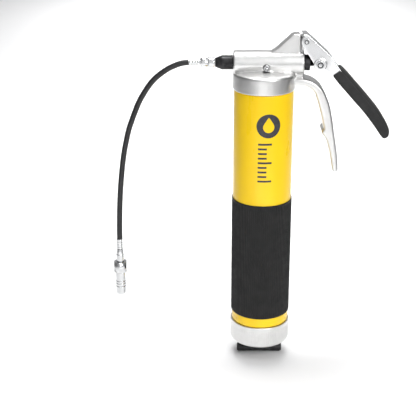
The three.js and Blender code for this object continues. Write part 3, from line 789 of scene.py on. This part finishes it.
def headed_pin(name, radius, head, face, centre):
    """A pin through two cheeks that end at face on either side, its head in front."""
    front, back = -face - PLAY, face + PLAY
    top, tail = front - 1.4, back + 1.5
    ring_in, ring_out = head * RING_IN, head * RING_OUT
    return turned(name, [
        (0, top), (ring_in, top, 0.15), (ring_in, top + RING_DEEP), (ring_out, top + RING_DEEP),
        (ring_out, top, 0.1), (head, top, 0.3), (head, front, 0.2),
        (radius, front), (radius, tail, 0.35), (0, tail),
    ], 64, "y", centre)


def clip(name, radius, face, centre):
    near, far = face + PLAY, face + PLAY + 0.7
    inner, outer = radius + 0.15, radius + 2
    return turned(name, [
        (inner, near), (outer, near, 0.2), (outer, far, 0.2), (inner, far),
    ], 64, "y", centre)


def painted_groove_shade(piece, head, centre):
    """Paints the front of the ring groove black: painted shade in the recess."""
    margin = 0.02
    piece.data.materials.append(blackened)
    for face in piece.data.polygons:
        spot = face.center / MM - Vector(centre)
        reach = math.hypot(spot.x, spot.z) / head
        if RING_IN - margin < reach < RING_OUT + margin and spot.y < 0:
            face.material_index = 1


FULCRUM_PIN, FULCRUM_HEAD = 1.8, 2.9
CRANK_PIN, CRANK_HEAD = 2.0, 3.9
fulcrum_rivet = headed_pin("fulcrum_rivet", FULCRUM_PIN, FULCRUM_HEAD, CHEEK, FULCRUM)
fitted(fulcrum_rivet, "gun", chrome, "steel", "fulcrum_pin")
# Painted shade: the ring groove in the rivet head is painted black.
painted_groove_shade(fulcrum_rivet, FULCRUM_HEAD, FULCRUM)
fulcrum_washer = clip("fulcrum_washer", FULCRUM_PIN, CHEEK, FULCRUM)
fitted(fulcrum_washer, "gun", steel, "steel", "fulcrum_clip")
crank_rivet = headed_pin("crank_rivet", CRANK_PIN, CRANK_HEAD, BOSS_FACE, CRANK)
fitted(crank_rivet, "lever", chrome, "steel", "crank_pin")
# Painted shade: the ring groove in the rivet head is painted black.
painted_groove_shade(crank_rivet, CRANK_HEAD, CRANK)
crank_washer = clip("crank_washer", CRANK_PIN, BOSS_FACE, CRANK)
fitted(crank_washer, "lever", steel, "steel", "crank_clip")
print("pins and clips fitted")

# %% [markdown]
# ## Springs
#
# A compression spring is a helix whose last turns lie flat, so that it stands square. The return
# spring is different: it twists. It is wound round the fulcrum pin, its short leg on the bracket.

# %% Wind the compression springs
def as_mesh(bar):
    """The same bar as a mesh, which can be squeezed and bent."""
    shape = final_mesh(bar)
    piece = bpy.data.objects.new(bar.name + "_wire", shape)
    bpy.context.scene.collection.objects.link(piece)
    bpy.data.objects.remove(bar)
    shape.shade_smooth()
    return piece


def wound(name, along, centre, coil, wire, low, high, turns):
    """A spring of wire radius wire from low to high, its first and last turns flat."""
    steps = turns * 12
    points = []
    for k in range(steps + 1):
        angle = 2 * math.pi * turns * k / steps
        rise = min(1.0, max(0.0, (turns * k / steps - 0.7) / (turns - 1.4)))
        height = low + wire + (high - low - 2 * wire) * rise
        spot = AXES[along](coil * math.cos(angle), coil * math.sin(angle), height)
        points.append(Vector(spot) + Vector(centre))
    return as_mesh(round_bar(name, points, wire * 2, between=3, smooth_ring=2))


def fixed_end(along, centre, height):
    return (Vector(AXES[along](0, 0, height)) + Vector(centre)) * MM


def squeezed(piece, along, anchor):
    axis = Vector(AXES[along](0, 0, 1))
    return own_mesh(piece)


HANG = (-141.2, 0, 0)
# name, axis, centre, coil radius, wire radius, low, high, turns, fixed end, joint, share kept
SPRINGS = [
    ("follower", "z", (0, 0, 0), 20, 1.1, 6.3, 243.7, 10, 6.3, "follower_slide", 0.2207),
    ("check", "-x", TUBE, 3.2, 0.45, 19.05, 25.5, 4, 25.5, "check_ball_slide", 0.68),
    ("bleeder", "-y", BLEEDER, 1.35, 0.25, 7.6, 10.65, 3, 7.6, "bleeder_ball_slide", 0.66),
    ("coupler", "z", HANG, 2.9, 0.35, 61.5, 65.8, 3, 65.9, "coupler_jaws_slide", 0.64),
]
for name, along, centre, coil, wire, low, high, turns, held, joint, keep in SPRINGS:
    piece = wound(name + "_coil", along, centre, coil, wire, low, high, turns)
    fitted(piece, "gun", steel, "steel", name + "_spring")
    squeezed(piece, along, fixed_end(along, centre, held))

# %% Wind the return spring
def wind_return_spring():
    """Two turns round the fulcrum pin, with one leg on the bracket and one under the web."""
    web = Vector((17.3, 18.9)).normalized()
    low, high, coil = 4.7, 7.2, 3.0
    short_leg, long_leg, steps = 3.7, 9, 40
    x, _, z = FULCRUM
    start, end = math.pi / 2, math.atan2(web.y, web.x) - 4 * math.pi
    points = [(x - short_leg, low, z + coil)]
    for k in range(steps + 1):
        angle = start + (end - start) * k / steps
        out = low + (high - low) * k / steps
        points.append((x + coil * math.cos(angle), out, z + coil * math.sin(angle)))
    points.append((x + coil * web.x + long_leg * web.y, high, z + coil * web.y - long_leg * web.x))
    return as_mesh(round_bar("return_spring", points, 0.8, between=4, smooth_ring=3))


return_spring = fitted(wind_return_spring(), None, steel, "steel", "lever_spring")
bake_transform(return_spring)
print("return spring wound")

# %% [markdown]
# ## The grip
#
# The grip is dipped vinyl on the lever's end: flat on its two sides, rounded over its back, and
# closed with a blunt round tip. It is lofted: rounded sections are placed between the line of its
# inner edge and the line of its back, and skinned. The lever's channel is then cut out of its mouth.

# %% Loft the grip
GRIP_IN = curve_through([(63.2, 277.6), (68.8, 270.6), (75.2, 263.4), (85.1, 252.2), (95.3, 240.8),
                         (105.3, 227.6), (110.5, 220.2), (114.6, 215.0)], 5)
GRIP_OUT = curve_through([(72.4, 284.2), (78.4, 278.4), (86.4, 269.4), (96.5, 258.1), (107.2, 245.4),
                          (112.8, 237.4), (118.2, 228.2), (121.3, 220.4)], 5)
GRIP_HALF = 14.0
ARCH_SHARE = 0.26
GRIP_ROOM = 0.3


def section(thick, half):
    """One slice of the grip: flat sides, crisp outer corners and an arched back between them."""
    arch = thick * ARCH_SHARE
    back = [(thick - arch * (k / 5) ** 4, -half * k / 5.4) for k in range(-5, 6)]
    outline = [(0, half, 2.6), (thick - arch, half, 1.3), *back, (thick - arch, -half, 1.3),
               (0, -half, 2.6)]
    return eased(outline, True)


def loft_grip():
    """Sections along the grip, drawn in a little at its mouth and rounded off at its tip."""
    bm = bmesh.new()
    rings = []
    last = len(GRIP_IN) - 1
    for i, (inner, outer) in enumerate(zip(GRIP_IN, GRIP_OUT)):
        mouth = min(1.0, 0.86 + 0.14 * i)
        tip = math.sqrt(max(0.0, 1 - max(0.0, (i - last + 3) / 3.4) ** 2))
        inset = 1 - min(mouth, tip)
        a, b = Vector(inner), Vector(outer)
        a, b = a + (b - a) * inset * 0.5, b + (a - b) * inset * 0.5
        across = (b - a).normalized()
        half = GRIP_HALF * (1 - inset * 0.35)
        ring = [bm.verts.new(((a.x + across.x * t) * MM, y * MM, (a.y + across.y * t) * MM))
                for t, y in section((b - a).length, half)]
        rings.append(ring)
    count = len(rings[0])
    for low, high in zip(rings, rings[1:]):
        for k in range(count):
            n = (k + 1) % count
            bm.faces.new([low[k], low[n], high[n], high[k]])
    bm.faces.new(rings[0])
    bm.faces.new(rings[-1])
    return new_piece("vinyl_grip", bm)


def make_grip():
    """The loft less the room for the lever, which is a little larger than the lever."""
    half, wide_half = CHEEK + GRIP_ROOM, WIDE_CHEEK + GRIP_ROOM
    room = widened(slab("room", LEVER_OUT, 2 * half, 1.0), half, wide_half)
    return skinned(carve(loft_grip(), "DIFFERENCE", room), grain_size=0.55, passes=2)


grip = fitted(make_grip(), "lever", vinyl, "grip_vinyl", "lever_grip")
print("grip faces:", len(grip.data.polygons))
print("grip, mm:", [round(v / MM, 1) for v in grip.dimensions])

# %% [markdown]
# ## The bottom end
#
# A cast cap screws onto the bottom of the barrel. A band of straight knurling gives fingers a hold
# on it. A brass bushing guides the follower rod, whose T-handle pulls the follower down when a new
# cartridge goes in.

# %% Turn the end cap and the bushing
CAP_TEETH, CAP_DEEP = 96, 0.38


def cap_knurl(angle, radius, height):
    if radius < 29.2 or not 4.4 < height < 17.6:
        return 0.0
    return -CAP_DEEP * abs(math.sin(CAP_TEETH / 2 * angle))


cap_side = [4.4, 4.5, 8.0, 11.0, 14.0, 17.5, 17.6]
end_cap = turned("end_cap_turned", [
    (6.5, 3), (9.4, 3), (9.4, 0, 0.3), (28.1, 0, 0.4), (29.6, 1.6, 0.6), *[(29.6, h) for h in cap_side],
    (29.6, 22, 0.8), (26.9, 22, 0.3), (26.9, 6), (6.5, 6),
], sides=576, relief=cap_knurl)
fitted(end_cap, "gun", cast, "cast_aluminium", "end_cap")
bushing = turned("bushing_turned", [
    (3.8, 0.4, 0.3), (8.2, 0.4, 0.3), (9, 1.2, 0.3), (9, 2.7), (6.2, 2.7), (6.2, 9.2, 0.4), (3.8, 9.2),
], sides=72)
fitted(bushing, "gun", brass, "brass", "rod_bushing")
print("end cap faces:", len(end_cap.data.polygons))

# %% Turn the follower rod and its T-handle
rod = turned("follower_rod_turned", [
    (0, -8.6), (3.5, -8.6, 0.4), (3.5, 224), (2.6, 225), (2.6, 228), (3.5, 229), (3.5, 238, 0.9),
    (0, 238),
], sides=64)
fitted(rod, "rod", chrome, "chrome", "follower_rod")


def make_t_handle():
    """A bar, thinner in its middle, with a hub that is bored for the rod."""
    bar = turned("t_bar", [
        (0, -23), (4.0, -23, 1.6), (4.6, -20.5, 1.0), (4.25, 0, 6.0), (4.6, 20.5, 1.0),
        (4.0, 23, 1.6), (0, 23),
    ], 72, "x", (0, 0, -14))
    hub = turned("hub", [(0, -14), (6.4, -14), (6.4, -2.9, 0.8), (0, -2.9)], 72)
    carve(bar, "UNION", hub)
    return carve(bar, "DIFFERENCE", pin(3.8, -9, 0))


t_handle = fitted(make_t_handle(), "rod", blackened, "black_oxide", "t_handle")
print("T-handle width:", round(t_handle.dimensions.x / MM, 1), "mm")

# %% [markdown]
# ## The outlet and the hose's head end
#
# Grease leaves through a blackened adapter with a tapered nose. A knurled collar, a small hexagon and
# a crimped ferrule join the hose to it. A real hexagon has its corners turned off, so the prism is
# kept only where a chamfered turned blank covers it.

# %% Make the adapter, the collar and the head's ferrule
BORE = 1.6


def hexagon(name, across, low, high, along, centre):
    """A hexagon, across millimetres over its flats, with its corners turned off."""
    corner = across / math.sqrt(3)
    start = -math.pi / 2 if along == "z" else math.pi
    prism = turned(name, [(0, low), (corner, low), (corner, high), (0, high)], 6, along, centre,
                   start=start)
    blank = turned("blank", [
        (BORE, low), (across / 2 - 0.1, low), (corner + 0.05, low + 0.7), (corner + 0.05, high - 0.7),
        (across / 2 - 0.1, high), (BORE, high),
    ], 72, along, centre)
    return carve(prism, "INTERSECT", blank)


def collar_knurl(angle, radius, height):
    """Two sets of slanting grooves that cross, as a knurling wheel leaves them."""
    if radius < 5.0 or not 47.6 < height < 51.9:
        return 0.0
    one_way = abs(math.sin(15 * angle + 2.2 * height))
    other_way = abs(math.sin(15 * angle - 2.2 * height))
    return 0.16 * (one_way + other_way - 1.6)


adapter = turned("outlet_adapter_turned", [
    (BORE, 25.6), (4.7, 25.6), (4.7, 29.5), (6.75, 29.5, 0.5), (6.75, 39.8, 0.5),
    (4.15, 46.4, 0.3), (BORE, 46.4),
], sides=96, along="-x", centre=TUBE)
fitted(adapter, "gun", blackened, "black_oxide", "outlet_adapter")
knurl_rows = [(5.15, 47.6 + 0.172 * k) for k in range(26)]
collar = turned("knurled_collar", [
    (BORE, 46.7), (4.6, 46.7), (5.1, 47.3), *knurl_rows, (5.1, 52.2, 0.2), (4.5, 52.9), (BORE, 52.9),
], sides=180, along="-x", centre=TUBE)
fitted(collar, "gun", chrome, "chrome", "hose_swivel_nut")
fitting = hexagon("hose_hexagon", 8, 53.2, 60.2, "-x", TUBE)
fitted(fitting, "gun", chrome, "chrome", "hose_fitting_head")


def ferrule(name, radius, low, high, along, centre):
    """A crimped ferrule: three shallow rings are pressed into a plain tube."""
    step, pressed = (high - low) / 4, radius - 0.16
    line = [(BORE, low), (radius, low, 0.35)]
    for k in (1, 2, 3):
        at = low + step * k
        line += [(radius, at - 0.7, 0.3), (pressed, at - 0.3, 0.2), (pressed, at + 0.3, 0.2),
                 (radius, at + 0.7, 0.3)]
    return turned(name, line + [(radius, high, 0.35), (BORE, high)], 64, along, centre)


head_ferrule = ferrule("head_ferrule", 2.95, 60.5, 70.8, "-x", TUBE)
fitted(head_ferrule, "gun", chrome, "chrome", "hose_ferrule_head")
print("adapter, collar, hexagon and ferrule made")

# %% [markdown]
# ## The coupler
#
# The coupler snaps onto a grease nipple. Its hexagon is a little larger than the sleeve, the sleeve
# has three fine grooves and a rounded nose, and four jaws look out of its mouth.

# %% Make the coupler
low_ferrule = ferrule("coupler_ferrule", 3.05, 97.3, 107.9, "z", HANG)
fitted(low_ferrule, "gun", chrome, "chrome", "hose_ferrule_coupler")
low_fitting = turned("coupler_fitting", [
    (BORE, 83.7), (3.95, 83.7, 0.3), (3.95, 91, 0.3), (3.6, 91.7, 0.2), (3.6, 93, 0.2),
    (3.05, 97, 0.2), (BORE, 97),
], sides=64, centre=HANG)
fitted(low_fitting, "gun", chrome, "chrome", "hose_fitting_coupler")
nut = hexagon("coupler_hexagon", 12.4, 72.2, 83.4, "z", HANG)
stem = turned("stem", [(BORE, 66), (3.9, 66, 0.3), (3.9, 73), (BORE, 73)], 64, centre=HANG)
carve(nut, "UNION", stem)
fitted(nut, "gun", chrome, "chrome", "coupler_nut")


COUPLER_R, GROOVE_R = 5.1, 4.72


def groove(at):
    return [(COUPLER_R, at - 0.5, 0.15), (GROOVE_R, at - 0.2, 0.15),
            (GROOVE_R, at + 0.2, 0.15), (COUPLER_R, at + 0.5, 0.15)]


coupler = turned("coupler_sleeve_turned", [
    (2.9, 48.1, 0.2), (4.5, 48, 0.7), (COUPLER_R, 49.2, 0.7), *groove(57.0), *groove(60.0),
    *groove(62.6), (COUPLER_R, 71.9, 0.6), (4.2, 71.9), (4.2, 55), (3.1, 49.1, 0.2),
], sides=96, centre=HANG)
fitted(coupler, "gun", chrome, "chrome", "coupler_sleeve")
print("coupler made")

# %% Give the inner CAD pieces their finishes
INNER = {
    "coupler_jaw_1": steel, "coupler_jaw_2": steel, "coupler_jaw_3": steel, "coupler_jaw_4": steel,
    "coupler_seal": ribbed, "follower_plate": steel, "follower_cup": ribbed, "head_gasket": ribbed,
    "plunger_packing": ribbed, "bushing_nut": steel,
}
for name, finish in INNER.items():
    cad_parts[name].data.materials.clear()
    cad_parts[name].data.materials.append(finish)
print("inner pieces finished:", len(INNER))

# %% Print where the coupler hangs
print("the coupler hangs at x =", HANG[0], "mm")

# %% [markdown]
# ## Floor and light
#
# A plain pale floor lies just under the gun. Polished metal shows what is around it, so the surroundings
# matter as much as the lamps: white in front, greyer behind, to the sides and overhead, so that
# round pieces get grey flanks and a bright middle. A tall soft lamp to the front right draws the
# long highlight. Two lamps that point straight down brighten the floor in front and behind.

# %% Lay the floor
def lay_floor():
    """A wide flat floor just under the T-handle."""
    half, below = 6.0, -0.0192
    bm = bmesh.new()
    bmesh.ops.create_grid(bm, x_segments=1, y_segments=1, size=half)
    bmesh.ops.translate(bm, verts=bm.verts, vec=(0, 0, below))
    floor = new_piece("floor", bm)
    material, tree, shader = new_finish("pale_floor", 0.0)
    tint(tree, shader, (0.83, 0.83, 0.835), (0.86, 0.86, 0.86), 900)
    shader.inputs["Roughness"].default_value = 0.7
    floor.data.materials.append(material)


lay_floor()
print("floor laid")

# %% Hang the lamps
def soft_lamp(name, place, aim, size, power, spread):
    data = bpy.data.lights.new(name, "AREA")
    data.spread = math.radians(spread)
    data.shape = "RECTANGLE"
    data.size, data.size_y = size
    data.energy = power
    lamp = bpy.data.objects.new(name, data)
    bpy.context.scene.collection.objects.link(lamp)
    lamp.location = place
    lamp.rotation_euler = (Vector(aim) - Vector(place)).to_track_quat("-Z", "Y").to_euler()


soft_lamp("front_floor", (-0.12, -0.84, 1.1), (-0.12, -0.84, 0.0), (0.5, 0.7), power=5, spread=70)
soft_lamp("key", (0.62, -1.05, 0.85), (0.05, 0.0, 0.2), (0.3, 0.9), power=1.9, spread=80)
soft_lamp("backdrop", (0.0, 1.1, 1.6), (0.0, 1.1, 0.0), (0.9, 2.2), power=12, spread=50)
print("lamps hung")

# %% Surround the gun
def fading(tree, value, start, end, near, far):
    """A shade that runs smoothly from near to far as value runs from start to end."""
    fade = tree.nodes.new("ShaderNodeMapRange")
    fade.interpolation_type = "SMOOTHSTEP"
    fade.inputs["From Min"].default_value = start
    fade.inputs["From Max"].default_value = end
    fade.inputs["To Min"].default_value = near
    fade.inputs["To Max"].default_value = far
    tree.links.new(value, fade.inputs["Value"])
    return fade.outputs["Result"]


def combined(tree, operation, first, second=None):
    node = tree.nodes.new("ShaderNodeMath")
    node.operation = operation
    tree.links.new(first, node.inputs[0])
    if second:
        tree.links.new(second, node.inputs[1])
    return node.outputs[0]


def surround():
    """A world whose brightness depends on the direction it is seen in."""
    world = bpy.data.worlds.new("studio")
    bpy.context.scene.world = world
    world.use_nodes = True
    tree = world.node_tree
    place = tree.nodes.new("ShaderNodeTexCoord")
    parts = tree.nodes.new("ShaderNodeSeparateXYZ")
    tree.links.new(place.outputs["Generated"], parts.inputs["Vector"])
    side = combined(tree, "ABSOLUTE", parts.outputs["X"])
    sides = fading(tree, side, start=0.3, end=0.9, near=1.0, far=0.35)
    sky = fading(tree, parts.outputs["Z"], start=0.1, end=0.9, near=1.0, far=0.65)
    front = fading(tree, parts.outputs["Y"], start=-0.85, end=0.1, near=0.95, far=0.46)
    glow = combined(tree, "MULTIPLY", combined(tree, "MULTIPLY", sides, sky), front)
    tree.links.new(glow, tree.nodes["Background"].inputs["Strength"])
    tree.nodes["Background"].inputs["Color"].default_value = (0.985, 0.99, 1.0, 1)


surround()
bpy.context.scene.view_settings.view_transform = "Standard"
print("surroundings set")
